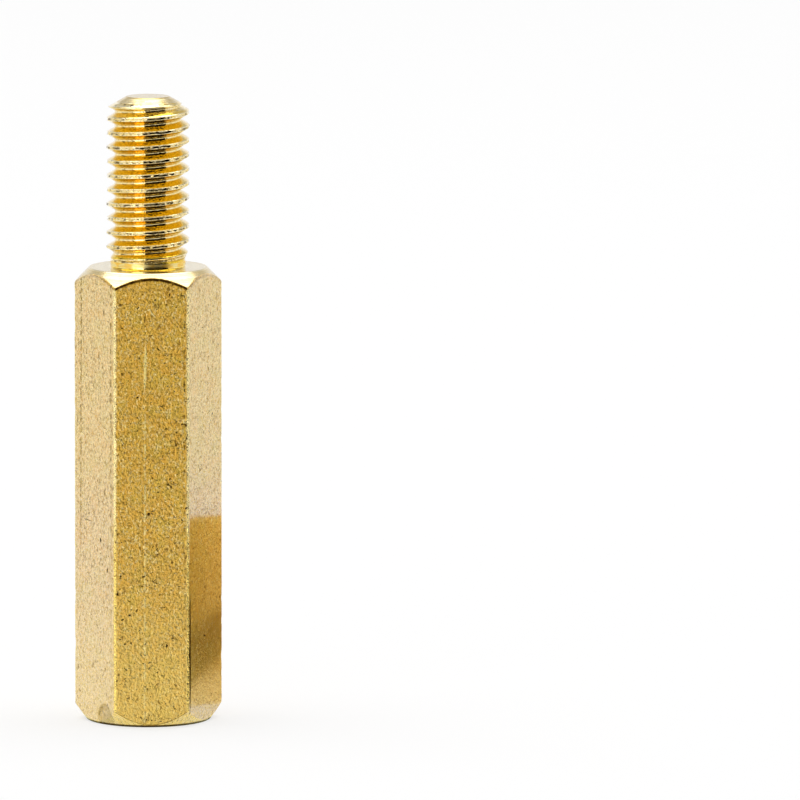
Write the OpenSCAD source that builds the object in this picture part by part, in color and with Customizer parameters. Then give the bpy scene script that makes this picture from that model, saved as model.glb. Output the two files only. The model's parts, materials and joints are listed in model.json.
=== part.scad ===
// Male-female hexagonal standoff, M3, turned from drawn brass bar.
// It stands on its foot, the end with the tapped hole, and the stud points up.
// Origin: the middle of the foot face. +Z runs along the axis towards the stud's tip.
// The screw threads are right-handed. Here the stud is plain at the diameter over its
// crests, and the hole is plain at its tapping drill's diameter.

/* [Hexagonal body] */
// Width across the flats, which a spanner takes
across_flats = 4.5; // [4.2:0.1:6]
// Length of the body from the foot face to the shoulder face
body_length = 16; // [12:0.5:40]
// Width of the worn land down each of the six corners
corner_land = 0.06; // [0.02:0.01:0.2]

/* [Turned ends of the body] */
// How far inside the flats the rim of the shoulder face lies
shoulder_inset = 0.19; // [0.05:0.01:0.3]
// Slope of the chamfer below the shoulder, in degrees from the shoulder face
shoulder_slope = 45; // [25:1:60]
// How far inside the flats the rim of the foot face lies
foot_inset = 0.07; // [0.02:0.01:0.15]
// Slope of the chamfer above the foot, in degrees from the foot face
foot_slope = 54; // [25:1:65]

/* [Stud] */
// Diameter over the crests of the stud's thread
stud_diameter = 2.94; // [2.88:0.02:3.2]
// Height of the stud above the shoulder face
stud_length = 6; // [3:0.5:12]
// Diameter of the plain neck, left at the size of the blank
neck_diameter = 2.62; // [2.3:0.02:2.7]
// Height of the straight part of the neck
neck_land = 0.12; // [0.05:0.01:0.4]
// Slope on which the thread runs out into the neck, in degrees from the shoulder face
runout_slope = 45; // [30:1:60]
// Width of the flat ring kept clear between the crest line and the seat on the shoulder
seat_clearance = 0.02; // [0.01:0.01:0.1]
// Diameter of the flat on the stud's tip
tip_diameter = 1.48; // [1:0.02:2.2]
// Slope of the tip's chamfer, in degrees from the tip's flat
tip_slope = 29; // [15:1:50]

/* [Tapped hole] */
// Diameter of the tapping drill
drill_diameter = 2.5; // [2.4:0.02:2.6]
// Depth of the drilled hole from the foot face to the start of the drill's point
drill_depth = 9.5; // [6:0.5:10]
// Included angle of the drill's point
drill_point_angle = 118; // [90:1:140]
// Diameter of the countersunk mouth at the foot face
mouth_diameter = 3.6; // [3.1:0.05:3.8]
// Included angle of the countersink
mouth_angle = 90; // [60:5:120]

/* [Hidden] */
$fn = 128;
brass = [0.80, 0.65, 0.36];

// Overshoot of a cutting tool past the face that it enters
overrun = 0.5;

// The hexagon
HEX_SIDES = 6;
flat_r = across_flats / 2;
corner_r = flat_r / cos(180 / HEX_SIDES);
half_side = flat_r * tan(180 / HEX_SIDES);
// The corners are worn down to this radius, which leaves a land of the stated width
worn_r = norm([flat_r, half_side - corner_land / 2 / cos(180 / HEX_SIDES)]);

// The turned ends of the body
shoulder_r = flat_r - shoulder_inset;
shoulder_drop = (corner_r - shoulder_r) * tan(shoulder_slope);
foot_r = flat_r - foot_inset;
foot_rise = (corner_r - foot_r) * tan(foot_slope);

// The stud
stud_r = stud_diameter / 2;
neck_r = neck_diameter / 2;
neck_fillet = stud_r - neck_r + seat_clearance;
runout_start = body_length + neck_fillet + neck_land;
thread_start = runout_start + (stud_r - neck_r) * tan(runout_slope);
tip_r = tip_diameter / 2;
tip_height = (stud_r - tip_r) * tan(tip_slope);
overall_height = body_length + stud_length;
thread_end = overall_height - tip_height;

// The tapped hole
drill_r = drill_diameter / 2;
drill_point_height = drill_r / tan(drill_point_angle / 2);
mouth_r = mouth_diameter / 2;
mouth_slope = tan(mouth_angle / 2);
mouth_depth = (mouth_r - drill_r) / mouth_slope;

// Drawn hexagonal bar, as long as the whole part, with its corners worn round
module bar() {
    intersection() {
        cylinder(h = overall_height, r = corner_r, $fn = HEX_SIDES);
        cylinder(h = overall_height, r = worn_r);
    }
}

// Half of the section that the lathe leaves, from the axis outwards
module turned_section() {
    polygon([
        [0, 0],
        [foot_r, 0],
        [corner_r, foot_rise],
        [corner_r, body_length - shoulder_drop],
        [shoulder_r, body_length],
        [neck_r, body_length],
        [neck_r, runout_start],
        [stud_r, thread_start],
        [stud_r, thread_end],
        [tip_r, overall_height],
        [0, overall_height]
    ]);
    neck_fillet_section();
}

// The fillet in the corner between the shoulder face and the neck
module neck_fillet_section() {
    ring_r = neck_r + neck_fillet;
    difference() {
        translate([0, body_length - neck_fillet])
            square([ring_r, 2 * neck_fillet]);
        translate([ring_r, body_length + neck_fillet])
            circle(r = neck_fillet);
    }
}

// Everything that the drill, the tap and the countersink take out
module tapped_hole() {
    translate([0, 0, -overrun])
        cylinder(h = drill_depth + overrun, r = drill_r);
    translate([0, 0, drill_depth])
        cylinder(h = drill_point_height, r1 = drill_r, r2 = 0);
    translate([0, 0, -overrun])
        cylinder(
            h = mouth_depth + overrun,
            r1 = mouth_r + overrun * mouth_slope,
            r2 = drill_r
        );
}

module standoff() {
    color(brass)
        difference() {
            intersection() {
                bar();
                rotate_extrude()
                    turned_section();
            }
            tapped_hole();
        }
}

standoff();
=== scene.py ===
"""A brass hex standoff, M3, male to female: the looks of its one piece.

Lengths in this script are millimetres in the part's own frame: +Z runs up the axis from the
middle of the foot face, and the hexagon has corners on +X and -X. They turn into metres where
a mesh, a bump, a lamp or the camera is made.
"""

import json
import math

import bpy
import numpy as np
from mathutils import Matrix, Vector

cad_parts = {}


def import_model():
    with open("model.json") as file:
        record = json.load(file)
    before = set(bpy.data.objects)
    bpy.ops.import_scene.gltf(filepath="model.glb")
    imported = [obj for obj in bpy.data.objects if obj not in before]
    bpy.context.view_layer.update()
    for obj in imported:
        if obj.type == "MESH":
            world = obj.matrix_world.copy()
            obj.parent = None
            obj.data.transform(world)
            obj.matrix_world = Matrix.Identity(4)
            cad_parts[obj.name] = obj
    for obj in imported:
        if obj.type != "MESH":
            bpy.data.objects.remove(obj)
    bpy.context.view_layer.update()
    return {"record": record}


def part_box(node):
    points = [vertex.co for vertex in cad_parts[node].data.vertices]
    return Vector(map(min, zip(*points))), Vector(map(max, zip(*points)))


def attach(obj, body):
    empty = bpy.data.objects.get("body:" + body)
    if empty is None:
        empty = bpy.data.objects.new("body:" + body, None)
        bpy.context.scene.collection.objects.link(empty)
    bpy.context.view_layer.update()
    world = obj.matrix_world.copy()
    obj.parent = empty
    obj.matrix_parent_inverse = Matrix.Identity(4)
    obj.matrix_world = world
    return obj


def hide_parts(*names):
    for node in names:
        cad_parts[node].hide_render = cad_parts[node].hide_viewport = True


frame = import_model()

MM = 0.001
TURN = 2 * math.pi

# ---- Sizes that the frame gives ----
high_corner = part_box("standoff")[1]
mounts = {mount["name"]: mount for mount in frame["record"]["mounts"]}
HEIGHT = high_corner.z / MM
FLAT_R = high_corner.y / MM
BODY_LENGTH = mounts["shoulder"]["pos_m"][2] / MM
DRILL_R = mounts["tapped_hole"]["dims"]["r_mm"]
STUD_R = mounts["threaded_stud"]["dims"]["r_mm"]

# ---- The hexagonal body ----
SIDES = 6
CORNER_R = FLAT_R / math.cos(math.pi / SIDES)
SIDE = 2 * FLAT_R * math.tan(math.pi / SIDES)
# The way round the hexagon, along which every mark has its place
AROUND = SIDES * SIDE
CORNER_LAND = 0.06
CORNER_ROUND = 0.09
CORNER_STEPS = 3
FLAT_STEPS = 21
# How far from each rounding the flat's first and last columns lie
BESIDE_CORNER = 0.025
WEAR_REACH = 0.12
FLAT_WEAR = 0.45
# How much the foot chamfer is lightened, as a painted reflection of the bright floor that it
# mirrors
FOOT_PAINTED_REFLECTION = 0.6
SHOULDER_R = FLAT_R - 0.19
SHOULDER_SLOPE = math.radians(45)
FOOT_R = FLAT_R - 0.07
FOOT_SLOPE = math.radians(54)
RIM_ROUND = 0.035
FOOT_RIM_ROUND = 0.07
FOOT_EDGE_ROUND = 0.06
SHOULDER_EDGE_ROUND = 0.18
# Below this height the rows lie close, for the dents beside the foot
FOOT_ZONE = 1.5
FOOT_ROWS = 22
BODY_ROWS = 112
FOOT_RING_R = 2.05
SHOULDER_RING_R = 1.72
# The shallow waves that the drawing and the tumbling left all over the flats
WAVE_DEPTH = 0.0012
# Dirt on the shoulder's and the foot's edge all round, and painted shade more at front and back
SHOULDER_DIRT_AND_SHADE = (0.25, 0.85)
FOOT_DIRT_AND_SHADE = (0.1, 0.45)

# ---- The stud and its thread ----
PITCH = 0.5
FLANK = math.radians(30)
STUD_COLUMNS = 144
STUD_RING_R = 1.64
NECK_R = 1.31
NECK_ROUND = 0.05
NECK_TOP = BODY_LENGTH + 0.24
RUNOUT_RISE = 0.42
TIP_R = 0.74
TIP_SLOPE = math.radians(29)
TIP_ROUND = 0.03
THREAD_TOP = HEIGHT - 0.2
LAST_TURN = HEIGHT - 0.5
CONE_START = THREAD_TOP + 0.012
CREST_R = STUD_R - 0.012
# The crests' unevenness: its size, its waves to a turn, and how far it reaches
CREST_RIPPLE = 0.006
CREST_WAVES = 5
CREST_RIPPLE_HALF = 0.09
CREST_HALF = 0.05
SEAM_DEPTH = 0.05
SEAM_HALF = 0.023
# How much of the seam's depth is kept, and how unevenly
SEAM_KEPT = 0.7
SEAM_UNEVEN_COLUMNS = 0.8
SEAM_UNEVEN_TURNS = 0.5
SEAM_WAVES = 9
# How much the seam shades the bright lips, and how bright the root and the last turn are
SEAM_SHADE = 0.4
# The root's pale corners are a painted highlight
ROOT_HIGHLIGHT = 0.8
ROOT_HIGHLIGHT_HALF = 0.02
LAST_TURN_WEAR = 0.6
LAST_TURN_FADE = 0.1
ROOT_DEPTH = 0.285
ROOT_ROUND = 0.015
LIP_ROUND = 0.045
# Where a crest crosses the plane of the +X corner
CREST_START = BODY_LENGTH + 0.462
# The rows of the thread, as distances from a crest's middle
STUD_ROWS = [0, 0.017, 0.023, 0.035, 0.05, 0.06, 0.075, 0.1, 0.14, 0.18, 0.2, 0.211, 0.22]
# The step from a plain ring to the first or last row of a thread
THREAD_STEP = 0.02

# ---- The tapped hole ----
HOLE_COLUMNS = 84
DRILL_DEPTH = 9.5
DRILL_POINT = math.radians(118)
DRILL_ROUND = 0.03
MOUTH_R = 1.8
MOUTH_SLOPE = math.radians(45)
MOUTH_ROUND = 0.02
TAP_DEPTH = 8.3
TAP_TOP = 8.7
TAP_START = 0.58
TAP_RISE = 0.5
TAP_ROOT_R = 1.52
TAP_CREST_HALF = 0.05
TAP_RIPPLE = 0.003
TAP_WAVES = 6
TAP_ROWS = [0, 0.03, 0.055, 0.1, 0.155, 0.2, 0.22]
HOLE_RING_R = 1.92

# The steps of each arc that rounds a corner of the section
ARC_STEPS = 3
RIPPLE_KNOTS = 1009

# ---- The finishes, in the order of the material slots ----
TUMBLED, TURNED, PLAIN, ROLLED, CUT = range(5)
# A rounded edge of the tumbled finish, which holds dirt
EDGE = -1


# ======== Small helpers for shapes ========

def heading(angle):
    """The unit vector at an angle from +X, in the plane across the axis."""
    return np.array([math.cos(angle), math.sin(angle)])


def smooth(share):
    """An even rise from 0 to 1."""
    share = np.clip(share, 0, 1)
    return share * share * (3 - 2 * share)


def ripple(along, seed):
    """Seeded noise from -1 to 1 along a line, with a knot at each whole number."""
    knots = np.random.default_rng(seed).uniform(-1, 1, RIPPLE_KNOTS)
    whole = np.floor(along).astype(int)
    share = smooth(along - whole)
    return knots[whole % len(knots)] * (1 - share) + knots[(whole + 1) % len(knots)] * share


def lower_of(a, b, blend):
    """The smaller of two values, with a soft corner where they cross."""
    share = np.clip(0.5 + 0.5 * (b - a) / blend, 0, 1)
    return b * (1 - share) + a * share - blend * share * (1 - share)


def unit(vector):
    """The vector at length 1."""
    return vector / np.linalg.norm(vector)


def fillet(before, corner, after, radius):
    """The arc that rounds a corner of a section."""
    before, corner, after = (np.array(p, float) for p in (before, corner, after))
    back, onward = unit(before - corner), unit(after - corner)
    half = math.acos(float(np.clip(back @ onward, -1, 1))) / 2
    centre = corner + unit(back + onward) * radius / math.sin(half)
    first = corner + back * radius / math.tan(half) - centre
    last = corner + onward * radius / math.tan(half) - centre
    span = math.pi - 2 * half
    return [
        centre + (first * math.sin((1 - t) * span) + last * math.sin(t * span)) / math.sin(span)
        for t in np.linspace(0, 1, ARC_STEPS + 1)
    ]


def section(stops):
    """Points along a section, and the finish of each step between them.

    A stop is (corner, rounding, finish of the rounding, steps to the next stop, their finish).
    """
    arcs = []
    for k, (corner, rounding, _, _, _) in enumerate(stops):
        if rounding:
            arcs.append(fillet(stops[k - 1][0], corner, stops[k + 1][0], rounding))
        else:
            arcs.append([np.array(corner, float)])
    points, finishes = [], []
    for k, (_, _, arc_finish, steps, finish) in enumerate(stops):
        points += arcs[k]
        finishes += [arc_finish] * (len(arcs[k]) - 1)
        if k + 1 < len(stops):
            start, end = arcs[k][-1], arcs[k + 1][0]
            points += [start + (end - start) * t / steps for t in range(1, steps)]
            finishes += [finish] * steps
    return np.array(points), finishes


class Skin:
    """One closed surface, gathered as rings of points that follow the section round the part.

    The section runs from the drill's point down the hole, over the foot, up the body and the
    stud, and ends in the middle of the tip.
    """

    def __init__(self):
        """An empty surface."""
        self.points, self.around, self.worn, self.stain_and_shade = [], [], [], []
        self.faces, self.finishes = [], []
        self.count = 0

    def add(self, points, around, worn=0.0, stain_and_shade=0.0):
        """Takes in and numbers points, with place round the part, wear and painted light, dirt and
        painted shade.
        """
        points = np.asarray(points, float).reshape(-1, 3)
        self.points.append(points)
        for values, value in ((self.around, around), (self.worn, worn), (self.stain_and_shade, stain_and_shade)):
            values.append(np.broadcast_to(value, len(points)))
        self.count += len(points)
        return np.arange(self.count - len(points), self.count)

    def ring(self, radius, height, angles):
        """A round ring of points."""
        x, y = radius * np.cos(angles), radius * np.sin(angles)
        z = np.broadcast_to(height, len(angles))
        return self.add(np.stack([x, y, z], 1), angles * AROUND / TURN)

    def face(self, corners, finish):
        """Takes in one face and its finish."""
        self.faces.append([int(c) for c in corners])
        self.finishes.append(finish)

    def strip(self, first, second, finish):
        """Quads from one ring to the next one along the section, which has as many points."""
        for corners in zip(first, np.roll(first, -1), np.roll(second, -1), second):
            self.face(corners, finish)

    def strips(self, rings, finishes):
        """Strips from each ring to the next one. Returns the first ring and the last."""
        for first, second, finish in zip(rings, rings[1:], finishes):
            self.strip(first, second, finish)
        return rings[0], rings[-1]

    def join(self, first, second, finish):
        """Triangles between two rings on a flat face that differ in their number of points."""
        rings = [np.append(ring, ring[0]) for ring in (first, second)]
        steps = [(angle, 0) for angle in self.angles_of(first)[1:]]
        steps += [(angle, 1) for angle in self.angles_of(second)[1:]]
        reached = [0, 0]
        for _, side in sorted(steps):
            a, b = rings[0][reached[0]], rings[1][reached[1]]
            reached[side] += 1
            self.face((a, rings[side][reached[side]], b), finish)

    def angles_of(self, ring):
        """Each point's angle from +X, closed with the first one a full turn further."""
        points = np.concatenate(self.points)[ring]
        angles = np.unwrap(np.arctan2(points[:, 1], points[:, 0]))
        return np.append(angles, angles[0] + TURN)

    def cap(self, ring, height, finish, first):
        """A fan of triangles from a ring to the axis, at the section's first or last end."""
        pole = self.add([0, 0, height], 0.0)[0]
        for a, b in zip(ring, np.roll(ring, -1)):
            self.face((pole, b, a) if first else (a, b, pole), finish)


# ======== The thread ========

def rows_of_pitch(distances):
    """Rows over one pitch: those on both sides of a crest, and the root's middle above it."""
    distances = np.array(distances)
    return np.concatenate([-distances[:0:-1], distances, [PITCH / 2]])


def stud_depth(from_crest):
    """How far the stud's thread lies below its crests: soft lips, flanks and narrow flat roots."""
    flank = (np.abs(from_crest) - CREST_HALF) / math.tan(FLANK)
    below_lips = -lower_of(-flank, 0.0, LIP_ROUND)
    return lower_of(below_lips, ROOT_DEPTH, ROOT_ROUND)


def stud_radius(from_crest, height, along):
    """The stud's radius at a place on its thread, which runs out into the neck and the tip."""
    reach = CREST_R - stud_depth(from_crest)
    near_crest = smooth(1 - np.abs(from_crest) / CREST_RIPPLE_HALF)
    reach += CREST_RIPPLE * ripple(along * CREST_WAVES, seed=11) * near_crest
    # The seam is broken off in places, both from column to column and over longer stretches
    kept = SEAM_KEPT + SEAM_UNEVEN_COLUMNS * ripple(along * STUD_COLUMNS / 2, seed=12)
    kept += SEAM_UNEVEN_TURNS * ripple(along * SEAM_WAVES, seed=13)
    seam = SEAM_DEPTH * smooth(2 - np.abs(from_crest) / SEAM_HALF)
    reach -= seam * np.clip(kept, 0, 1)
    reach = NECK_R + smooth((height - NECK_TOP) / RUNOUT_RISE) * (reach - NECK_R)
    cone = TIP_R + (HEIGHT - height) / math.tan(TIP_SLOPE)
    return lower_of(reach, cone, TIP_ROUND)


def tap_radius(from_crest, height, along):
    """The hole's radius at a place on its thread, which fades out at the mouth and the bottom."""
    flank = (np.abs(from_crest) - TAP_CREST_HALF) / math.tan(FLANK)
    depth = np.clip(flank, 0, TAP_ROOT_R - DRILL_R)
    depth *= smooth((height - TAP_START) / TAP_RISE)
    depth *= smooth((TAP_DEPTH - height) / TAP_RISE)
    return DRILL_R + depth + TAP_RIPPLE * ripple(along * TAP_WAVES, seed=21)


def thread(skin, columns, rows, low, high, radius, finish, inward=False):
    """A threaded stretch, whose rows climb with the helix, so that its lines are clean.

    Returns its rings at both ends, in the section's direction.
    """
    angles = TURN * np.arange(columns) / columns
    rows = rows_of_pitch(rows)
    first_turn = math.floor((low - CREST_START) / PITCH) - 2
    turns = np.arange(first_turn, (high - CREST_START) / PITCH + 2)
    offsets = (turns[:, None] * PITCH + rows[None, :]).ravel()
    heights = CREST_START + offsets[:, None] + PITCH * angles[None, :] / TURN
    inside = (heights >= low) & (heights <= high)
    from_crest = np.broadcast_to(np.tile(rows, len(turns))[:, None], heights.shape)
    along = (heights - from_crest - CREST_START) / PITCH
    reach = radius(from_crest, heights, along)
    x, y = reach * np.cos(angles), reach * np.sin(angles)
    around = np.broadcast_to(angles * AROUND / TURN, heights.shape)[inside]
    index = np.full(heights.shape, -1)
    points = np.stack([x, y, heights], 2)[inside]
    from_crest = np.abs(from_crest[inside])
    # The lips are worn bright and carry a painted highlight, the root's corners carry a painted
    # highlight, and the seam between the lips carries painted shade
    seam = smooth(2 - from_crest / SEAM_HALF)
    lips = smooth(2 - from_crest / CREST_HALF) * (1 - SEAM_SHADE * seam)
    root = ROOT_HIGHLIGHT * smooth(2 - (PITCH / 2 - from_crest) / ROOT_HIGHLIGHT_HALF)
    last_turn = LAST_TURN_WEAR * smooth((points[:, 2] - LAST_TURN) / LAST_TURN_FADE)
    worn = np.maximum(np.maximum(lips, root), last_turn) * (not inward)
    index[inside] = skin.add(points, around, worn, seam * (not inward))
    # One column past the last is the first column, one pitch further up
    closing = np.append(index[len(rows):, 0], [-1] * len(rows))
    index = np.column_stack([index, closing])
    for row, above in zip(index[:-1], index[1:]):
        for corners in zip(row[:-1], row[1:], above[1:], above[:-1]):
            kept = [c for c in corners if c >= 0]
            if len(kept) > 2:
                skin.face(kept[::-1] if inward else kept, finish)
    bottom, top = np.array([column[column >= 0][[0, -1]] for column in index[:, :-1].T]).T
    return (top, bottom) if inward else (bottom, top)


# ======== The stretches of the section, in their order ========

def rings_along(skin, stops, angles):
    """Round rings along a section, with strips between them."""
    points, finishes = section(stops)
    return skin.strips([skin.ring(radius, height, angles) for radius, height in points], finishes)


def hole(skin):
    """The drilled, tapped and countersunk hole. Returns its ring on the foot face."""
    angles = TURN * np.arange(HOLE_COLUMNS) / HOLE_COLUMNS
    point = DRILL_DEPTH + DRILL_R / math.tan(DRILL_POINT / 2)
    near_axis = 0.2
    first, bore = rings_along(skin, [
        ((near_axis, point - near_axis / math.tan(DRILL_POINT / 2)), 0, CUT, 6, CUT),
        ((DRILL_R, DRILL_DEPTH), DRILL_ROUND, CUT, 4, CUT),
        ((DRILL_R, TAP_TOP + THREAD_STEP), 0, CUT, 0, CUT),
    ], angles)
    skin.cap(first, point, CUT, first=True)
    top, bottom = thread(
        skin, HOLE_COLUMNS, TAP_ROWS, TAP_START, TAP_TOP, tap_radius, CUT, inward=True)
    skin.strip(bore, top, CUT)
    mouth_top = (MOUTH_R - DRILL_R) / math.tan(MOUTH_SLOPE)
    first, outer = rings_along(skin, [
        ((DRILL_R, mouth_top + THREAD_STEP), 0, CUT, 1, CUT),
        ((DRILL_R, mouth_top), 0, CUT, 12, TURNED),
        ((MOUTH_R, 0), MOUTH_ROUND, CUT, 3, CUT),
        ((HOLE_RING_R, 0), 0, CUT, 0, CUT),
    ], angles)
    skin.strip(bottom, first, CUT)
    return outer


def hexagon():
    """The worn hexagon: its points, their normals' angles, their places round it and their wear.

    Each corner is a narrow land between two small roundings.
    """
    half = math.pi / SIDES
    pivot_r = CORNER_R - CORNER_LAND / 2 * math.tan(half) - CORNER_ROUND
    reach = CORNER_ROUND * math.tan(half / 2)
    aside = CORNER_LAND / 2 - reach
    flat = SIDE - CORNER_LAND / math.cos(half) - 2 * reach
    shares = np.linspace(0, 1, FLAT_STEPS)[1:-1]
    shares = np.concatenate([[BESIDE_CORNER / flat], shares, [1 - BESIDE_CORNER / flat]])
    points, normals, around, worn = [], [], [], []
    for side in range(SIDES):
        corner = TURN * side / SIDES
        across = heading(corner + TURN / 4)
        for hand in (-1, 1):
            pivot = pivot_r * heading(corner) + hand * aside * across
            for step in range(CORNER_STEPS + 1):
                tilt = half * (step / CORNER_STEPS - (hand < 0))
                points.append(pivot + CORNER_ROUND * heading(corner + tilt))
                normals.append(corner + tilt)
                around.append(side * SIDE + hand * aside + CORNER_ROUND * tilt)
                worn.append(1 - (1 - FLAT_WEAR) * abs(tilt) / half)
        start = points[-1]
        next_corner = corner + TURN / SIDES
        end = pivot_r * heading(next_corner) - aside * heading(next_corner + TURN / 4)
        end = end + CORNER_ROUND * heading(corner + half)
        for share in shares:
            points.append(start + (end - start) * share)
            normals.append(corner + half)
            around.append(side * SIDE + (SIDE - flat) / 2 + flat * share)
            edge = min(share, 1 - share) * flat
            worn.append(FLAT_WEAR * float(smooth(1 - edge / WEAR_REACH)))
    return np.array(points), np.array(normals), np.array(around), np.array(worn)


def body_section(edge_r):
    """The body's section where the hexagon's surface lies edge_r from the axis."""
    return section([
        ((FOOT_RING_R, 0), 0, CUT, 2, CUT),
        ((FOOT_R, 0), FOOT_RIM_ROUND, TUMBLED, 6, TUMBLED),
        ((edge_r, (edge_r - FOOT_R) * math.tan(FOOT_SLOPE)), FOOT_EDGE_ROUND, EDGE,
         FOOT_ROWS, TUMBLED),
        ((edge_r, FOOT_ZONE), 0, TUMBLED, BODY_ROWS, TUMBLED),
        ((edge_r, BODY_LENGTH - (edge_r - SHOULDER_R) * math.tan(SHOULDER_SLOPE)),
         SHOULDER_EDGE_ROUND, EDGE, 8, TURNED),
        ((SHOULDER_R, BODY_LENGTH), RIM_ROUND, TURNED, 4, TURNED),
        ((SHOULDER_RING_R, BODY_LENGTH), 0, TURNED, 0, TURNED),
    ])


# The middles of the three flats that the photograph shows, as places round the body
FRONT = 4.5 * SIDE
LEFT = FRONT - SIDE
RIGHT = FRONT + SIDE
# Marks pressed into the body: place round it, height, half width, half height, depth, and how
# sharp the rim is
PRESSED = [
    (LEFT + 0.65, 0.22, 0.42, 0.52, 0.030, 6.0),
    (LEFT + 0.38, 0.36, 0.07, 0.07, 0.020, 1.5),
    (RIGHT + 0.45, 0.10, 0.22, 0.14, 0.030, 2.0),
]
# Soft dents all over the body, and knocks on each corner
SOFT_DENTS = 110
CORNER_KNOCKS = 9
KNOCK_REACH = 0.13


def pressed_depth(around, height):
    """How deep the handling marks have gone in at a place on the body."""
    depth = np.zeros(np.broadcast(around, height).shape)
    for middle, up, half_width, half_height, deep, rim in PRESSED:
        reach = np.hypot((around - middle) / half_width, (height - up) / half_height)
        depth += deep * smooth((1 - reach) * rim)
    random = np.random.default_rng(seed=31)
    for _ in range(SOFT_DENTS):
        middle, up = random.uniform(0, AROUND), random.uniform(0.4, BODY_LENGTH - 0.5)
        half_width, half_height = random.uniform(0.12, 0.4), random.uniform(0.12, 0.6)
        reach = np.hypot((around - middle) / half_width, (height - up) / half_height)
        depth += random.uniform(0.001, 0.004) * smooth(1 - reach)
    return depth


def corner_nicks(around, height):
    """How deep the six corners are knocked in at a height."""
    random = np.random.default_rng(seed=37)
    depth = np.zeros(np.broadcast(around, height).shape)
    for side in range(SIDES):
        from_corner = np.abs((around - side * SIDE + SIDE) % AROUND - SIDE)
        near = smooth(1 - from_corner / KNOCK_REACH)
        for _ in range(CORNER_KNOCKS):
            up, half = random.uniform(0.6, BODY_LENGTH - 0.7), random.uniform(0.1, 0.3)
            depth += random.uniform(0.006, 0.022) * near * smooth(1 - np.abs(height - up) / half)
        depth += 0.004 * near * (1 + ripple(height * 4, seed=40 + side))
    return depth


def edge_stain_and_shade(normals, height, edges):
    """How dark the chamfers' edges are: dirt all round, and painted shade over the front and back
    flats.
    """
    turn = np.abs(normals % (TURN / 2) - TURN / 4)
    facing = smooth((math.radians(24) - turn) / math.radians(18))
    shoulder, foot = (all_round + more * facing for all_round, more in (SHOULDER_DIRT_AND_SHADE, FOOT_DIRT_AND_SHADE))
    share = np.where(height > FOOT_ZONE, shoulder, foot)
    # Only the points inside an edge's arc, so that its borders are soft
    return share * (np.append(edges, False) & np.append(False, edges))[:, None]


def body(skin):
    """The hexagonal body with its chamfers. Returns its rings on the foot and the shoulder."""
    outline, normals, around, worn = hexagon()
    edge_r = np.hypot(outline[:, 0], outline[:, 1])
    directions = outline / edge_r[:, None]
    sections = [body_section(r) for r in edge_r]
    edges = np.array(sections[0][1]) == EDGE
    finishes = np.where(edges, TUMBLED, sections[0][1])
    rows = np.stack([points for points, _ in sections], 1)
    radius, height = rows[:, :, 0], rows[:, :, 1]
    depth = pressed_depth(around[None, :], height) + corner_nicks(around[None, :], height)
    depth += WAVE_DEPTH * (1 + ripple(height / 1.9 + around[None, :] * 0.7, seed=51))
    # The turned faces of the foot and the shoulder stay flat
    depth *= smooth((radius - FOOT_R + 0.03) / 0.06) * smooth((radius - SHOULDER_R) / 0.1)
    x = radius * directions[None, :, 0] - depth * np.cos(normals)
    y = radius * directions[None, :, 1] - depth * np.sin(normals)
    flats = smooth((radius - FOOT_R) / (edge_r - FOOT_R) * 20 - 19)
    # The foot chamfer is lightened too: a painted reflection of the bright floor
    brightening = worn * flats + FOOT_PAINTED_REFLECTION * (height < FOOT_ZONE) * (1 - flats)
    stain_and_shade = edge_stain_and_shade(normals, height, edges)
    rings = [skin.add(np.stack(axes, 1), around, worn_share, stain_and_shade_share)
             for *axes, worn_share, stain_and_shade_share in zip(x, y, height, brightening, stain_and_shade)]
    return skin.strips(rings, finishes)


def stud(skin):
    """The neck, the rolled thread and the chamfered tip. Returns its ring on the shoulder."""
    angles = TURN * np.arange(STUD_COLUMNS) / STUD_COLUMNS
    first, neck = rings_along(skin, [
        ((STUD_RING_R, BODY_LENGTH), 0, TURNED, 5, TURNED),
        ((NECK_R, BODY_LENGTH), NECK_ROUND, ROLLED, 5, PLAIN),
        ((NECK_R, NECK_TOP - THREAD_STEP), 0, PLAIN, 0, ROLLED),
    ], angles)
    bottom, top = thread(
        skin, STUD_COLUMNS, STUD_ROWS, NECK_TOP, THREAD_TOP, stud_radius, ROLLED)
    skin.strip(neck, bottom, ROLLED)
    cone_r = TIP_R + (HEIGHT - CONE_START) / math.tan(TIP_SLOPE)
    near_axis = 0.1
    cone, last = rings_along(skin, [
        ((cone_r, CONE_START), 0, ROLLED, 6, TURNED),
        ((TIP_R, HEIGHT), TIP_ROUND, TURNED, 8, TURNED),
        ((near_axis, HEIGHT), 0, TURNED, 0, TURNED),
    ], angles)
    skin.strip(top, cone, ROLLED)
    skin.cap(last, HEIGHT, TURNED, first=False)
    return first


def build_standoff():
    """The whole standoff as one closed mesh."""
    skin = Skin()
    mouth = hole(skin)
    foot, shoulder = body(skin)
    seat = stud(skin)
    skin.join(mouth, foot, CUT)
    skin.join(shoulder, seat, TURNED)
    points = np.concatenate(skin.points)
    mesh = bpy.data.meshes.new("standoff_brass")
    mesh.from_pydata((points * MM).tolist(), [], skin.faces)
    mesh.polygons.foreach_set("material_index", skin.finishes)
    mesh.shade_smooth()
    for name, values in (("worn", skin.worn), ("stain_and_shade", skin.stain_and_shade)):
        attribute = mesh.attributes.new(name, "FLOAT", "POINT")
        attribute.data.foreach_set("value", np.concatenate(values).astype(np.float32))
    unroll(mesh, np.concatenate(skin.around), points[:, 2])
    mesh.validate()
    return linked("standoff_brass", mesh)


def linked(name, data):
    """A new object of a mesh, a lamp or a camera, linked to the scene."""
    made = bpy.data.objects.new(name, data)
    bpy.context.scene.collection.objects.link(made)
    return made


def read_all(items, name):
    """A whole number that each item of a mesh holds."""
    values = np.zeros(len(items), int)
    items.foreach_get(name, values)
    return values


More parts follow.
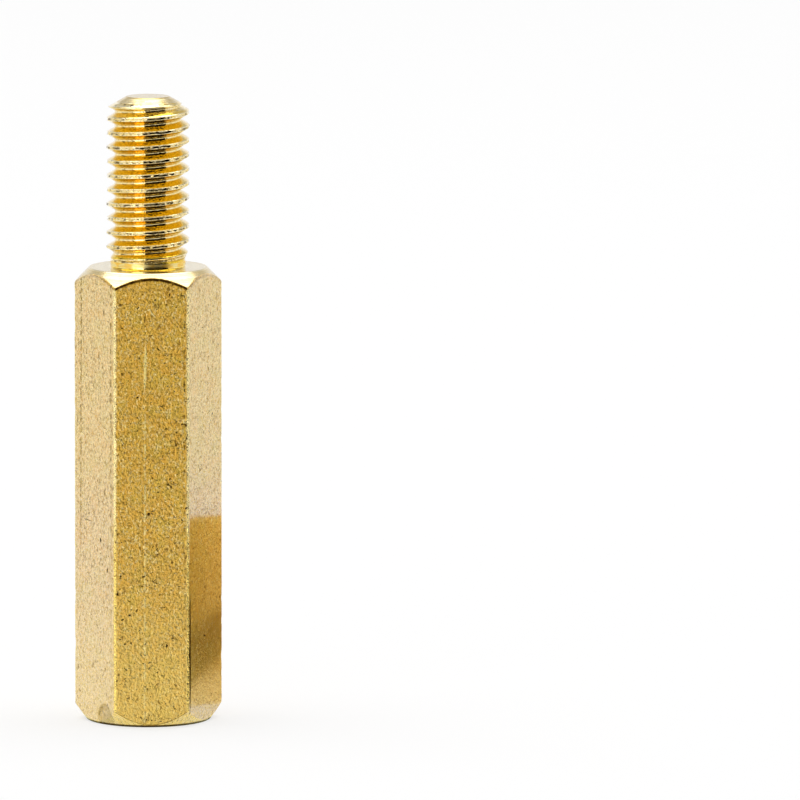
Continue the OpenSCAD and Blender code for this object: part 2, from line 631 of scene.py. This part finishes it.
def unroll(mesh, around, height):
    """A map in millimetres: along it the way round the part, up it the height."""
    corners = read_all(mesh.loops, "vertex_index")
    starts = read_all(mesh.polygons, "loop_start")
    totals = read_all(mesh.polygons, "loop_total")
    along = around[corners]
    furthest = np.repeat(np.maximum.reduceat(along, starts), totals)
    # The face that closes the way round would otherwise span all of it
    along = np.where(furthest - along > AROUND / 2, along + AROUND, along)
    layer = mesh.uv_layers.new(name="unrolled")
    layer.data.foreach_set("uv", np.stack([along, height[corners]], 1).ravel())


# ======== Small helpers for materials ========

def put(tree, kind, inputs=None, **settings):
    """Adds a shader node. Its inputs are numbers, colours or other nodes' outputs."""
    made = tree.nodes.new("ShaderNode" + kind)
    for name, value in settings.items():
        setattr(made, name, value)
    fill(tree, made, inputs or {})
    return made


def fill(tree, node, inputs):
    """Links a node's inputs to other nodes' outputs, or sets them to a number or a colour."""
    for name, value in inputs.items():
        if isinstance(value, bpy.types.NodeSocket):
            tree.links.new(value, node.inputs[name])
        else:
            node.inputs[name].default_value = value


def math_node(tree, operation, *values):
    """A sum, product or other step of arithmetic."""
    made = put(tree, "Math", dict(enumerate(values)), operation=operation)
    return made.outputs[0]


def times(tree, value, *others):
    """The product of some values."""
    for other in others:
        value = math_node(tree, "MULTIPLY", value, other)
    return value


def largest(tree, value, *others):
    """The largest of some values."""
    for other in others:
        value = math_node(tree, "MAXIMUM", value, other)
    return value


def apart(tree, first, second):
    """How far apart two values are."""
    return math_node(tree, "ABSOLUTE", math_node(tree, "SUBTRACT", first, second))


def vector_node(tree, operation, *vectors):
    """A step of arithmetic on vectors. A length is a plain value."""
    made = put(tree, "VectorMath", dict(enumerate(vectors)), operation=operation)
    return made.outputs["Value" if operation == "LENGTH" else "Vector"]


def axes_of(tree, vector):
    """The outputs X, Y and Z of a vector."""
    return put(tree, "SeparateXYZ", {"Vector": vector}).outputs


def ramp(tree, value, low, high, to_low=0.0, to_high=1.0):
    """A smooth step from one level to another."""
    made = put(tree, "MapRange", {
        "Value": value, "From Min": low, "From Max": high, "To Min": to_low, "To Max": to_high,
    }, interpolation_type="SMOOTHSTEP")
    return made.outputs["Result"]


def painted(tree, colour, coats):
    """A colour with others laid over it in their order, each by its share."""
    for share, over in coats:
        mixed = put(tree, "Mix", {0: share, 6: colour, 7: over}, data_type="RGBA")
        colour = mixed.outputs[2]
    return colour


def relief(tree, layers):
    """The normal over layers of relief: each is a pattern and its depth in millimetres."""
    inputs = {"Strength": 1.0}
    for pattern, depth in layers:
        inputs.update({"Height": pattern, "Distance": depth * MM})
        inputs["Normal"] = put(tree, "Bump", inputs).outputs["Normal"]
    return inputs["Normal"]


def place(tree, upward=1.0):
    """The place on the part in millimetres, with its height scaled to give a pattern a grain."""
    coordinates = put(tree, "TexCoord").outputs["Object"]
    return vector_node(tree, "MULTIPLY", coordinates, (1 / MM, 1 / MM, upward / MM))


def noise(tree, where, scale, detail=2.0, rough=0.5, distortion=0.0):
    """Soft noise about 0.5, with so many waves to a millimetre."""
    made = put(tree, "TexNoise", {
        "Vector": where, "Scale": scale, "Detail": detail, "Roughness": rough,
        "Distortion": distortion,
    })
    return made.outputs["Fac"]


def patches(tree, where, scale, detail, *levels):
    """Patches: soft noise, put through a ramp."""
    return ramp(tree, noise(tree, where, scale, detail), *levels)


def specks(tree, where, scale, size, share):
    """Round spots of mixed sizes in a share of the cells of a Voronoi pattern."""
    cells = put(tree, "TexVoronoi", {"Vector": where, "Scale": scale, "Randomness": 1.0})
    pick = put(tree, "SeparateColor", {"Color": cells.outputs["Color"]})
    chosen = ramp(tree, pick.outputs["Red"], 1 - share, 1 - share * 0.5)
    spot = ramp(tree, cells.outputs["Distance"], size * scale, size * scale * 0.4)
    return times(tree, spot, chosen)


def turned_rings(tree, spacing):
    """Fine tool marks round the axis."""
    radius = vector_node(tree, "LENGTH", place(tree, 0))
    line = put(tree, "CombineXYZ", {"X": radius})
    return noise(tree, line.outputs[0], 1 / spacing, detail=3.0, rough=0.7)


def unrolled(tree):
    """The place on the unrolled map: the way round and the height, in millimetres."""
    return put(tree, "UVMap", uv_map="unrolled").outputs[0]


def mark_group():
    """A node group: 1 inside a turned ellipse on the unrolled map, with a soft edge."""
    group = bpy.data.node_groups.new("mark", "ShaderNodeTree")
    for name, direction, kind in (
        ("Centre", "INPUT", "Vector"), ("Half size", "INPUT", "Vector"),
        ("Angle", "INPUT", "Float"), ("Mark", "OUTPUT", "Float"),
    ):
        group.interface.new_socket(name, in_out=direction, socket_type="NodeSocket" + kind)
    given = group.nodes.new("NodeGroupInput").outputs
    turned = put(group, "VectorRotate", {
        "Vector": vector_node(group, "SUBTRACT", unrolled(group), given["Centre"]),
        "Angle": given["Angle"],
    }, rotation_type="Z_AXIS")
    scaled = vector_node(group, "DIVIDE", turned.outputs[0], given["Half size"])
    inside = ramp(group, vector_node(group, "LENGTH", scaled), 1.0, 0.6)
    fill(group, group.nodes.new("NodeGroupOutput"), {"Mark": inside})
    return group


def marks(tree, group, places):
    """The sum of listed marks: (round, up, half width, half height, turn in degrees)."""
    total = 0.0
    for around, up, half_width, half_height, turn in places:
        made = put(tree, "Group", node_tree=group)
        fill(tree, made, {
            "Centre": (around, up, 0), "Half size": (half_width, half_height, 1),
            "Angle": -math.radians(turn),
        })
        total = math_node(tree, "ADD", total, made.outputs[0])
    return math_node(tree, "MINIMUM", total, 1.0)


def height_of(tree):
    """The height above the foot in millimetres."""
    return axes_of(tree, place(tree))["Z"]


def kept_on_mesh(tree, name):
    """A share that the mesh holds for each point: wear and painted light, or dirt and painted
    shade, by name.
    """
    return put(tree, "Attribute", attribute_name=name).outputs["Fac"]


def facing_away(tree, low, high, straight):
    """A share that is low where a surface is seen straight on, and rises to 1 where it slants."""
    facing = put(tree, "LayerWeight", {"Blend": 0.5}).outputs["Facing"]
    return ramp(tree, facing, low, high, straight, 1.0)


# ======== The colours of the brass, and the places of the marks ========

BRASS = (0.87, 0.58, 0.055, 1)
BRASS_PALE = (0.86, 0.66, 0.28, 1)
BRASS_BRIGHT = (0.91, 0.79, 0.50, 1)
BRASS_RUBBED = (1.0, 0.82, 0.38, 1)
# Gold of rubbed corners low down, and a painted reflection of the floor on the foot chamfer and
# towards the foot
GOLD_RUBBED_AND_LIT = (1.0, 0.74, 0.20, 1)
BRASS_DEEP = (0.64, 0.42, 0.025, 1)
TOOL_LINE = (0.62, 0.40, 0.05, 1)
NECK_PALE = (1.0, 0.85, 0.38, 1)
# The lips' colour: burnished brass, with a painted highlight
LIP_PALE_AND_HIGHLIGHT = (0.99, 0.90, 0.62, 1)
SEAM_PALE = (1.0, 0.88, 0.42, 1)
DULL_OLIVE = (0.30, 0.17, 0.018, 1)
DULL_BROWN = (0.22, 0.08, 0.002, 1)
DULL_GOLD = (1.0, 0.65, 0.12, 1)
DULL_WARM = (0.86, 0.47, 0.06, 1)
DULL_YELLOW = (0.70, 0.55, 0.08, 1)
DULL_PALE = (1.0, 0.80, 0.34, 1)
FLECK_BROWN = (0.30, 0.15, 0.02, 1)
# Dark grime, also laid on as painted shade
GRIME_AND_SHADE = (0.05, 0.022, 0.004, 1)

# Among the dark nicks is one line of painted shade, down the right flat
# Dark nicks: place round the body, height, half width, half height, turn in degrees
NICKS_AND_SHADE_LINE = [
    (FRONT + 1.195, 10.69, 0.09, 0.030, -35),
    (FRONT + 1.24, 10.25, 0.022, 0.17, -22),
    (FRONT + 1.21, 11.52, 0.04, 0.020, 0),
    (FRONT - 0.486, 11.67, 0.055, 0.035, 30),
    (FRONT + 1.22, 7.76, 0.065, 0.035, 30),
    (FRONT + 1.07, 7.33, 0.065, 0.020, -45),
    (FRONT - 0.097, 7.57, 0.06, 0.045, 0),
    (FRONT + 0.03, 7.66, 0.05, 0.025, 35),
    (FRONT - 0.13, 6.99, 0.025, 0.04, 0),
    (FRONT + 0.98, 5.00, 0.065, 0.018, 12),
    (FRONT - 1.086, 5.37, 0.035, 0.040, 0),
    (FRONT - 0.79, 4.49, 0.07, 0.018, -20),
    (FRONT - 1.02, 3.83, 0.06, 0.030, 20),
    (FRONT + 0.135, 15.09, 0.04, 0.035, -30),
    (FRONT + 0.24, 13.36, 0.075, 0.025, -40),
    (FRONT - 0.225, 14.40, 0.018, 0.14, 0),
    (FRONT + 0.753, 15.62, 0.03, 0.03, 0),
    (FRONT + 1.20, 15.52, 0.06, 0.04, -25),
    (RIGHT - 0.24, 14.0, 0.05, 0.02, 0),
    # This line beside the right flat's corner is painted shade, a dark reflection
    (RIGHT - SIDE / 2 + 0.11, 2.6, 0.06, 2.5, 0),
    (LEFT + 0.40, 6.54, 0.05, 0.085, 0),
    (LEFT - 0.44, 7.16, 0.26, 0.014, -3),
    (LEFT + 0.84, 5.52, 0.035, 0.10, -15),
    (LEFT + 0.63, 14.6, 0.025, 0.16, 0),
    (RIGHT - 0.08, 3.09, 0.10, 0.030, -20),
    (RIGHT + 0.54, 10.87, 0.03, 0.06, 0),
]
# The bright stretch of the front flat's drawn line, in the same way
BRIGHT_SEAM = [(FRONT - 0.215, 12.70, 0.055, 1.05, -1.5)]
# Bright scratches
SCRATCHES = [
    (FRONT + 0.04, 14.60, 0.17, 0.022, -52),
    (FRONT - 0.08, 14.75, 0.08, 0.022, 20),
    (FRONT - 0.46, 11.76, 0.05, 0.018, 35),
    (FRONT + 1.17, 10.77, 0.09, 0.018, -35),
    (RIGHT + 0.45, 7.05, 0.035, 0.17, -14),
    (RIGHT + 0.15, 2.73, 0.030, 0.14, 18),
]
# Drawn lines up the flats: place round the body at the foot, lean, half width, and the level of
# noise below which they are rubbed away
FRONT_LINE = (FRONT - 0.25, 0.003, 0.045, 0.42)
LEFT_LINE = (LEFT - 0.935, 0.007, 0.045, 0.4)
LINE_BESIDE_LEFT_CORNER = (LEFT + SIDE / 2 - 0.22, 0.0, 0.05, 0.45)
LINE_BESIDE_RIGHT_CORNER = (FRONT + 1.15, 0.0, 0.04, 0.5)


# ======== The marks and the dirt of the flats ========

def drawn_line(tree, foot_place, lean, half_width, gaps):
    """A line up a flat, left by the drawing die, which is broken where it was rubbed away."""
    axes = axes_of(tree, unrolled(tree))
    middle = math_node(tree, "MULTIPLY_ADD", axes["Y"], lean, foot_place)
    height = put(tree, "CombineXYZ", {"Y": axes["Y"]}).outputs[0]
    kept = patches(tree, height, 3.5, 1, gaps, gaps + 0.12)
    line = ramp(tree, apart(tree, axes["X"], middle), half_width, half_width * 0.4)
    return times(tree, kept, line)


def bright_seam(tree, group, where):
    """The bright line up the front flat: one clear stretch, and a broken line below it."""
    seam = drawn_line(tree, *FRONT_LINE)
    below = ramp(tree, height_of(tree), 11.6, 10.6)
    broken = patches(tree, where, 9, 1, 0.35, 0.6, 0.2, 1)
    return largest(tree, times(tree, seam, below, broken), marks(tree, group, BRIGHT_SEAM))


def brown_lines(tree):
    """The dirt in the drawn lines beside the corners, and the painted shade round the dent at the
    foot.
    """
    height = height_of(tree)
    left = times(tree, drawn_line(tree, *LEFT_LINE), ramp(tree, height, 5.5, 8, 0.1, 0.8))
    beside = largest(tree, drawn_line(tree, *LINE_BESIDE_LEFT_CORNER),
                     drawn_line(tree, *LINE_BESIDE_RIGHT_CORNER))
    beside = times(tree, beside, ramp(tree, height, 6, 8, 0.4, 0.9))
    return largest(tree, left, beside, dent_rim(tree))


def dent_rim(tree):
    """The painted shade on the upper rim of the round dent low on the left flat, and its duller
    hollow.
    """
    around, up, half_width, half_height, _, _ = PRESSED[0]
    offset = vector_node(tree, "SUBTRACT", unrolled(tree), (around, up, 0))
    scaled = vector_node(tree, "DIVIDE", offset, (half_width, half_height, 1))
    reach = vector_node(tree, "LENGTH", scaled)
    rim = times(tree, ramp(tree, apart(tree, reach, 0.95), 0.18, 0.05, 0, 0.6),
                ramp(tree, axes_of(tree, scaled)["Y"], -0.2, 0.3))
    return largest(tree, rim, ramp(tree, reach, 1.0, 0.8, 0.0, 0.38))


def edge_dirt_and_contact_shadow(tree, where):
    """Dirt and painted shade on the rounded edges, in patches; painted contact shadow round the
    foot's base.
    """
    uneven = patches(tree, where, 7, 2, 0.3, 0.6, 0.6, 1)
    held = times(tree, kept_on_mesh(tree, "stain_and_shade"), uneven)
    # Painted contact shadow along the bottom of the foot, where it touches the floor
    return largest(tree, held, ramp(tree, height_of(tree), 0.11, 0.05))


def fine_strokes(tree, where):
    """The short bent strokes that the tumbling left, in patches."""
    waves = noise(tree, where, 6, detail=1, rough=0.4, distortion=1.2)
    return times(tree, ramp(tree, apart(tree, waves, 0.5), 0.03, 0.008),
                 patches(tree, place(tree, 0.8), 4.5, 1, 0.48, 0.6))


def dark_flecks(tree, where):
    """Small dark flecks of uneven shape, which gather in patches."""
    fine = noise(tree, where, 9, detail=1, rough=0.5, distortion=0.8)
    return times(tree, ramp(tree, fine, 0.64, 0.70),
                 patches(tree, where, 1.1, 2, 0.3, 0.6, 0.0, 0.8))


def front_specks(tree, where):
    """Black specks on the front flat, which gather in patches."""
    from_middle = apart(tree, axes_of(tree, unrolled(tree))["X"], FRONT)
    fine = noise(tree, where, 10, detail=1, distortion=0.5)
    return times(tree, ramp(tree, fine, 0.67, 0.71), patches(tree, where, 1.6, 3, 0.4, 0.6),
                 ramp(tree, from_middle, 1.26, 1.2))


# ======== The finishes of the brass ========

def metal(name, finish):
    """A material of bare metal, whose other settings come from its finish."""
    material = bpy.data.materials.new(name)
    material.use_nodes = True
    tree = material.node_tree
    fill(tree, tree.nodes["Principled BSDF"], {"Metallic": 1.0, **finish(tree)})
    return material


def grain_colour(tree, where, grain, strokes):
    """The colours of the tumbled grain, which change in clouds and turn golden at the foot, as a
    painted reflection of the bright floor.
    """
    clouds = noise(tree, place(tree, 0.7), 3.5, detail=3, rough=0.6)
    return painted(tree, DULL_BROWN, [
        (ramp(tree, grain, 0.18, 0.7), DULL_GOLD),
        (ramp(tree, clouds, 0.45, 0.65, 0.0, 0.6), DULL_WARM),
        (patches(tree, where, 1.4, 3, 0.48, 0.62, 0.0, 0.25), DULL_YELLOW),
        (patches(tree, place(tree, 0.12), 9, 2, 0.5, 0.75, 0.0, 0.5), DULL_WARM),
        (patches(tree, place(tree, 0.8), 14, 1, 0.56, 0.75, 0.0, 0.9), DULL_PALE),
        (times(tree, strokes, 0.8), DULL_PALE),
        # Golden towards the foot: a painted reflection of the bright floor
        (ramp(tree, height_of(tree), 7, 0, 0, 0.5), GOLD_RUBBED_AND_LIT),
    ])


def tumbled_brass(tree):
    """Drawn flats with a dull tumbled grain, dark flecks, nicks, painted shade and a few bright
    scratches.
    """
    group = mark_group()
    where = place(tree)
    grain = noise(tree, place(tree, 0.8), 12, detail=1.5, rough=0.7)
    strokes = fine_strokes(tree, where)
    flecks = dark_flecks(tree, place(tree, 0.6))
    # The nicks include a line of painted shade on the right flat
    nicks_and_shade_line = ramp(tree, marks(tree, group, NICKS_AND_SHADE_LINE), 0.0, 0.5)
    nicks_and_shade_line = largest(tree, nicks_and_shade_line, front_specks(tree, where))
    seam = bright_seam(tree, group, where)
    pale = largest(tree, marks(tree, group, SCRATCHES), seam)
    brown = brown_lines(tree)
    stain_and_shade = edge_dirt_and_contact_shadow(tree, where)
    uneven = noise(tree, where, 6, detail=2)
    uneven = math_node(tree, "MULTIPLY_ADD", uneven, 0.6, kept_on_mesh(tree, "worn"))
    patchy_share = ramp(tree, uneven, 0.6, 0.95)
    upper = ramp(tree, height_of(tree), 6, 8)
    colour = painted(tree, grain_colour(tree, where, grain, strokes), [
        # Rubbed places are golden low down: worn corners, and on the foot chamfer a painted
        # reflection of the floor
        (patchy_share, painted(tree, GOLD_RUBBED_AND_LIT, [(upper, BRASS_RUBBED)])),
        (pale, SEAM_PALE),
        (times(tree, brown, 0.7), GRIME_AND_SHADE),
        (ramp(tree, stain_and_shade, 0, 0.5), DULL_OLIVE),
        (ramp(tree, stain_and_shade, 0.5, 0.85), GRIME_AND_SHADE),
        (flecks, FLECK_BROWN),
        (nicks_and_shade_line, GRIME_AND_SHADE),
    ])
    rough = times(tree, ramp(tree, grain, 0.25, 0.75, 0.33, 0.58),
                  ramp(tree, patchy_share, 0, 1, 1, 0.45))
    rough = math_node(tree, "ADD", rough, ramp(tree, seam, 0, 1, 0, 0.35))
    # Seen aslant, clean and bright grains have a gloss that dirt, painted shade and dark grains
    # lack
    dirt_and_shade = largest(tree, nicks_and_shade_line, times(tree, flecks, 0.8), brown, stain_and_shade)
    clean = math_node(tree, "SUBTRACT", 1.0, dirt_and_shade)
    bright = math_node(tree, "SUBTRACT", ramp(tree, grain, 0.3, 0.6, 0.4, 1),
                       times(tree, patchy_share, 0.35))
    return {
        "Base Color": colour, "Roughness": rough,
        "Coat Weight": times(tree, facing_away(tree, 0.15, 0.55, 0.03), clean, bright),
        "Coat Roughness": 0.15, "Coat IOR": 4.1, "Specular Tint": (0.97, 1.0, 0.55, 1),
        "Normal": relief(tree, [
            (grain, 0.09), (strokes, -0.008), (largest(tree, nicks_and_shade_line, flecks), -0.02), (pale, 0.01),
        ]),
    }


def turned_brass(tree):
    """Bright lathe-turned chamfers and shoulder, with fine rings."""
    rings = turned_rings(tree, 0.035)
    wide_rings = turned_rings(tree, 0.12)
    # The tip and the chamfer of the body have been handled, and are deeper in tone
    height = height_of(tree)
    patchy_share = patches(tree, place(tree), 4, 3, 0.45, 0.65)
    handled = largest(
        tree, times(tree, patchy_share, ramp(tree, height, HEIGHT - 0.6, HEIGHT - 0.4, 0.0, 0.55)),
        ramp(tree, height, HEIGHT - 0.05, HEIGHT - 0.02, 0.0, 0.5),
        ramp(tree, height, BODY_LENGTH - 0.01, BODY_LENGTH - 0.07, 0.0, 0.25),
    )
    colour = painted(tree, BRASS_PALE, [
        (ramp(tree, wide_rings, 0.35, 0.65), BRASS_BRIGHT),
        (patches(tree, place(tree), 6, 3, 0.6, 0.8, 0.0, 0.4), BRASS),
        (ramp(tree, turned_rings(tree, 0.055), 0.55, 0.62), TOOL_LINE),
        (handled, TOOL_LINE),
    ])
    return {
        "Base Color": colour, "Roughness": ramp(tree, rings, 0.3, 0.7, 0.18, 0.3),
        "Specular Tint": (0.84, 0.84, 0.82, 1), "Coat Weight": 0.7,
        "Coat Roughness": 0.1, "Coat IOR": 1.6,
        "Normal": relief(tree, [(rings, 0.006), (wide_rings, 0.02)]),
    }


def plain_brass(tree):
    """The neck, turned but not polished."""
    rings = noise(tree, place(tree, 2.5), 3, detail=2)
    neck = BODY_LENGTH + 0.05
    return {
        "Base Color": painted(tree, DULL_GOLD, [(ramp(tree, rings, 0.35, 0.6), NECK_PALE)]),
        "Roughness": ramp(tree, height_of(tree), neck, neck + 0.12, 0.14, 0.42),
        "Normal": relief(tree, [(rings, 0.004)]),
    }


def rolled_brass(tree):
    """The thread, burnished by the rolling dies, with worn lips that carry a painted highlight,
    root corners that are a painted highlight, and painted shade in the lips' seam.
    """
    where = place(tree)
    streaks = noise(tree, place(tree, 2.5), 4, detail=3, rough=0.6)
    mottled = noise(tree, where, 13, detail=1)
    worn, stain_and_shade = kept_on_mesh(tree, "worn"), kept_on_mesh(tree, "stain_and_shade")
    colour = painted(tree, BRASS, [
        (ramp(tree, streaks, 0.5, 0.8, 0.0, 0.5), BRASS_PALE),
        (ramp(tree, mottled, 0.4, 0.7), BRASS_DEEP),
        # Pale lips and root corners: the lips' wear, and a painted highlight
        (times(tree, worn, patches(tree, where, 6, 2, 0.35, 0.6, 0.6, 1)), LIP_PALE_AND_HIGHLIGHT),
        (times(tree, worn, patches(tree, place(tree, 1.5), 15, 1, 0.6, 0.66, 0.0, 0.8)), GRIME_AND_SHADE),
        # The lips' seam is darkened: painted shade in the crease
        (times(tree, stain_and_shade, patches(tree, where, 4, 2, 0.5, 0.62, 0, 0.8)), GRIME_AND_SHADE),
    ])
    return {
        "Base Color": colour, "Roughness": ramp(tree, streaks, 0.3, 0.7, 0.06, 0.14),
        "Coat Weight": times(tree, facing_away(tree, 0.5, 0.9, 0.0), 0.8),
        "Coat Roughness": 0.08, "Coat IOR": 2.0,
        "Normal": relief(tree, [(streaks, 0.0015), (mottled, 0.006)]),
    }


def cut_brass(tree):
    """The foot face and the inside of the hole, left as the tools cut them."""
    where = place(tree)
    grain = noise(tree, where, 8, detail=4, rough=0.7)
    rings = turned_rings(tree, 0.05)
    pits = specks(tree, where, 4, 0.05, 0.5)
    colour = painted(tree, DULL_OLIVE, [(ramp(tree, grain, 0.3, 0.7), BRASS), (pits, GRIME_AND_SHADE)])
    return {
        "Base Color": colour, "Roughness": ramp(tree, grain, 0.3, 0.7, 0.2, 0.35),
        "Normal": relief(tree, [(grain, 0.008), (rings, 0.006), (pits, -0.015)]),
    }


# ======== Camera, floor and light ========

# The camera looks at the body's middle from the photograph's angle, and is turned so that this
# point falls on its place in the picture
PICTURE = 800
PICTURE_MIDDLE = PICTURE / 2
AIM_PIXEL = (148.5, 492.9)
AIM_HEIGHT = 8.0
PIXELS_PER_MM = 28.47
CAMERA_DISTANCE = 400.0
CAMERA_AZIMUTH = math.radians(-2.84)
CAMERA_ELEVATION = math.radians(8.235)
CAMERA_ROLL = math.radians(0.11)
SENSOR = 36.0

FLOOR_REACH = 3000
FLOOR_WHITE = (0.9, 0.9, 0.9, 1)
FLOOR_SHOWN_WHITE = 0.7
WHITE = (1, 1, 1, 1)
WORLD_LEVEL = 0.42
ROOM_LEVEL = 0.63

# Soft lamps: name, azimuth and elevation in degrees, distance, width, height, radiance
LAMPS = [
    ("lamp_top", 180, 81, 600, 1000, 500, 2.4),
    ("lamp_left", -34, 6, 600, 380, 300, 2.2),
]

# The card beside the right flat, which stands for the brass and the shadow that it mirrored
WARM_NEAR = (0.36, 0.19, 0.015, 1)
WARM_FAR = (0.80, 0.50, 0.12, 1)
WARM_LOW = (0.88, 0.66, 0.32, 1)
WARM_CARD = ("card_right", (82, 145), 5.2, (0, 6.75), WARM_LOW)

# The other cards: name, azimuths in degrees, distance, heights, colour
BLACK = (0.002, 0.0015, 0.001, 1)
UMBER = (0.12, 0.09, 0.05, 1)
CREAM = (1.0, 0.98, 0.84, 1)
SHADOW = (0.02, 0.012, 0.004, 1)
DEEP_SHADOW = (0.01, 0.006, 0.002, 1)
CARD_STEPS = 24
CARDS = [
    ("card_front", (-15.5, 61.5), 60, (0, 50), BLACK),
    ("card_front_high", (-15.5, 61.5), 60, (50, 90), UMBER),
    ("card_left_warm", (-150, -88), 60, (0, 14), CREAM),
    ("card_right_warm", (92, 150), 60, (0, 14), CREAM),
    ("card_left_dark", (-62, -51), 60, (28, 46), SHADOW),
    ("card_left_far", (-108, -92), 60, (28, 46), SHADOW),
    ("card_right_near", (56, 95), 9.2, (0, 4.6), DEEP_SHADOW),
]


def place_camera():
    """The camera, at the photograph's angle."""
    focal = PIXELS_PER_MM * CAMERA_DISTANCE
    right = (AIM_PIXEL[0] - PICTURE_MIDDLE) / focal
    up = (PICTURE_MIDDLE - AIM_PIXEL[1]) / focal
    ray = math.sqrt(1 + right * right + up * up)
    drop = math.asin(-ray * math.sin(CAMERA_ELEVATION) / math.hypot(1, up))
    tilt = drop - math.atan(up)
    ahead = math.cos(tilt) - up * math.sin(tilt)
    way = -CAMERA_AZIMUTH - math.atan2(right, ahead)
    data = bpy.data.cameras.new("camera")
    data.sensor_width = SENSOR
    data.lens = focal / PICTURE * SENSOR
    camera = linked("camera", data)
    camera.location = around_object(CAMERA_AZIMUTH, CAMERA_ELEVATION, CAMERA_DISTANCE)
    aimed = Matrix.Rotation(-way, 3, "Z") @ Matrix.Rotation(math.pi / 2 + tilt, 3, "X")
    camera.rotation_euler = (aimed @ Matrix.Rotation(CAMERA_ROLL, 3, "Z")).to_euler()
    bpy.context.scene.camera = camera


def around_object(azimuth, elevation, distance):
    """A place seen from the body's middle: azimuth 0 is in front, and 90 degrees is at +X."""
    level = distance * math.cos(elevation)
    x, y = level * math.sin(azimuth), -level * math.cos(azimuth)
    return Vector((x, y, AIM_HEIGHT + distance * math.sin(elevation))) * MM


def stage_piece(name, vertices, faces):
    """A plain piece of the stage. Returns it with its empty node tree and the tree's output."""
    mesh = bpy.data.meshes.new(name)
    mesh.from_pydata([[c * MM for c in vertex] for vertex in vertices], [], faces)
    material = bpy.data.materials.new(name)
    material.use_nodes = True
    mesh.materials.append(material)
    made = linked(name, mesh)
    tree = material.node_tree
    tree.nodes.clear()
    return made, tree, put(tree, "OutputMaterial")


def seen_directly(tree):
    """1 for rays from the camera and for those that mirror or pass through a surface."""
    path = put(tree, "LightPath").outputs
    return largest(tree, path["Is Camera Ray"], path["Is Glossy Ray"], path["Is Transmission Ray"])


def floor():
    """A plain white floor, which keeps the shadow."""
    low, high = -FLOOR_REACH, FLOOR_REACH
    corners = [(low, low, 0), (high, low, 0), (high, high, 0), (low, high, 0)]
    _, tree, out = stage_piece("floor", corners, [(0, 1, 2, 3)])
    paper = put(tree, "BsdfDiffuse", {"Color": FLOOR_WHITE})
    glow = put(tree, "Emission", {"Color": WHITE, "Strength": 1.0})
    share = times(tree, seen_directly(tree), FLOOR_SHOWN_WHITE)
    mixed = put(tree, "MixShader", {0: share, 1: paper.outputs[0], 2: glow.outputs[0]})
    fill(tree, out, {"Surface": mixed.outputs[0]})


def card(name, azimuths, distance, heights, colour):
    """A curved card that only mirrored rays see. Returns the node that gives it its colour."""
    vertices, faces = [], []
    for azimuth in np.radians(np.linspace(*azimuths, CARD_STEPS + 1)):
        x, y = distance * math.sin(azimuth), -distance * math.cos(azimuth)
        vertices += [(x, y, height) for height in heights]
    for k in range(0, 2 * CARD_STEPS, 2):
        faces.append((k, k + 2, k + 3, k + 1))
    made, tree, out = stage_piece(name, vertices, faces)
    for ray in ("camera", "diffuse", "shadow", "transmission", "volume_scatter"):
        setattr(made, "visible_" + ray, False)
    glow = put(tree, "Emission", {"Color": colour, "Strength": 1.0})
    fill(tree, out, {"Surface": glow.outputs[0]})
    return glow


def warm_card():
    """The card whose colour changes along it and up it, with a slanting band of shade."""
    glow = card(*WARM_CARD)
    tree = glow.id_data
    axes = axes_of(tree, place(tree))
    middle = math_node(tree, "MULTIPLY_ADD", axes["Y"], 0.75, 1.4)
    shade = times(tree, ramp(tree, apart(tree, axes["Z"], middle), 1.3, 0.6),
                  ramp(tree, axes["Y"], 0.5, 2.8, 1.0, 0.4))
    along = painted(tree, WARM_NEAR, [(ramp(tree, axes["Y"], -0.2, 1.7), WARM_FAR)])
    colour = painted(tree, WARM_LOW, [
        (ramp(tree, axes["Z"], 0.3, 2.0), along), (shade, SHADOW),
    ])
    fill(tree, glow, {"Color": colour})


def softbox(name, azimuth, elevation, distance, width, height, radiance):
    """A soft lamp, of a plain level, aimed at the body's middle."""
    data = bpy.data.lights.new(name, "AREA")
    data.shape = "RECTANGLE"
    data.size, data.size_y = width * MM, height * MM
    data.energy = radiance * math.pi * data.size * data.size_y
    lamp = linked(name, data)
    lamp.location = around_object(math.radians(azimuth), math.radians(elevation), distance)
    aim = Vector((0, 0, AIM_HEIGHT * MM)) - lamp.location
    lamp.rotation_euler = aim.to_track_quat("-Z", "Y").to_euler()


def world():
    """A white backdrop, greyer above, where it is seen, and a plain level of light elsewhere."""
    made = bpy.data.worlds.new("studio")
    bpy.context.scene.world = made
    made.use_nodes = True
    tree = made.node_tree
    way = put(tree, "TexCoord").outputs["Generated"]
    shown = ramp(tree, axes_of(tree, way)["Z"], 0.3, 0.45, 1.0, ROOM_LEVEL)
    level = put(tree, "Mix", {0: seen_directly(tree), 2: WORLD_LEVEL, 3: shown})
    fill(tree, tree.nodes["Background"], {"Color": WHITE, "Strength": level.outputs[0]})


def studio():
    """The floor, the light, and the cards that stand for what the brass mirrored."""
    floor()
    world()
    for lamp in LAMPS:
        softbox(*lamp)
    for settings in CARDS:
        card(*settings)
    warm_card()


# ======== The scene ========

standoff = build_standoff()
for name, finish in (
    ("brass_tumbled", tumbled_brass), ("brass_turned", turned_brass),
    ("brass_plain", plain_brass), ("brass_rolled", rolled_brass), ("brass_cut", cut_brass),
):
    standoff.data.materials.append(metal(name, finish))
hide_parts("standoff")
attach(standoff, "root")

place_camera()
studio()
bpy.context.scene.view_settings.view_transform = "Standard"
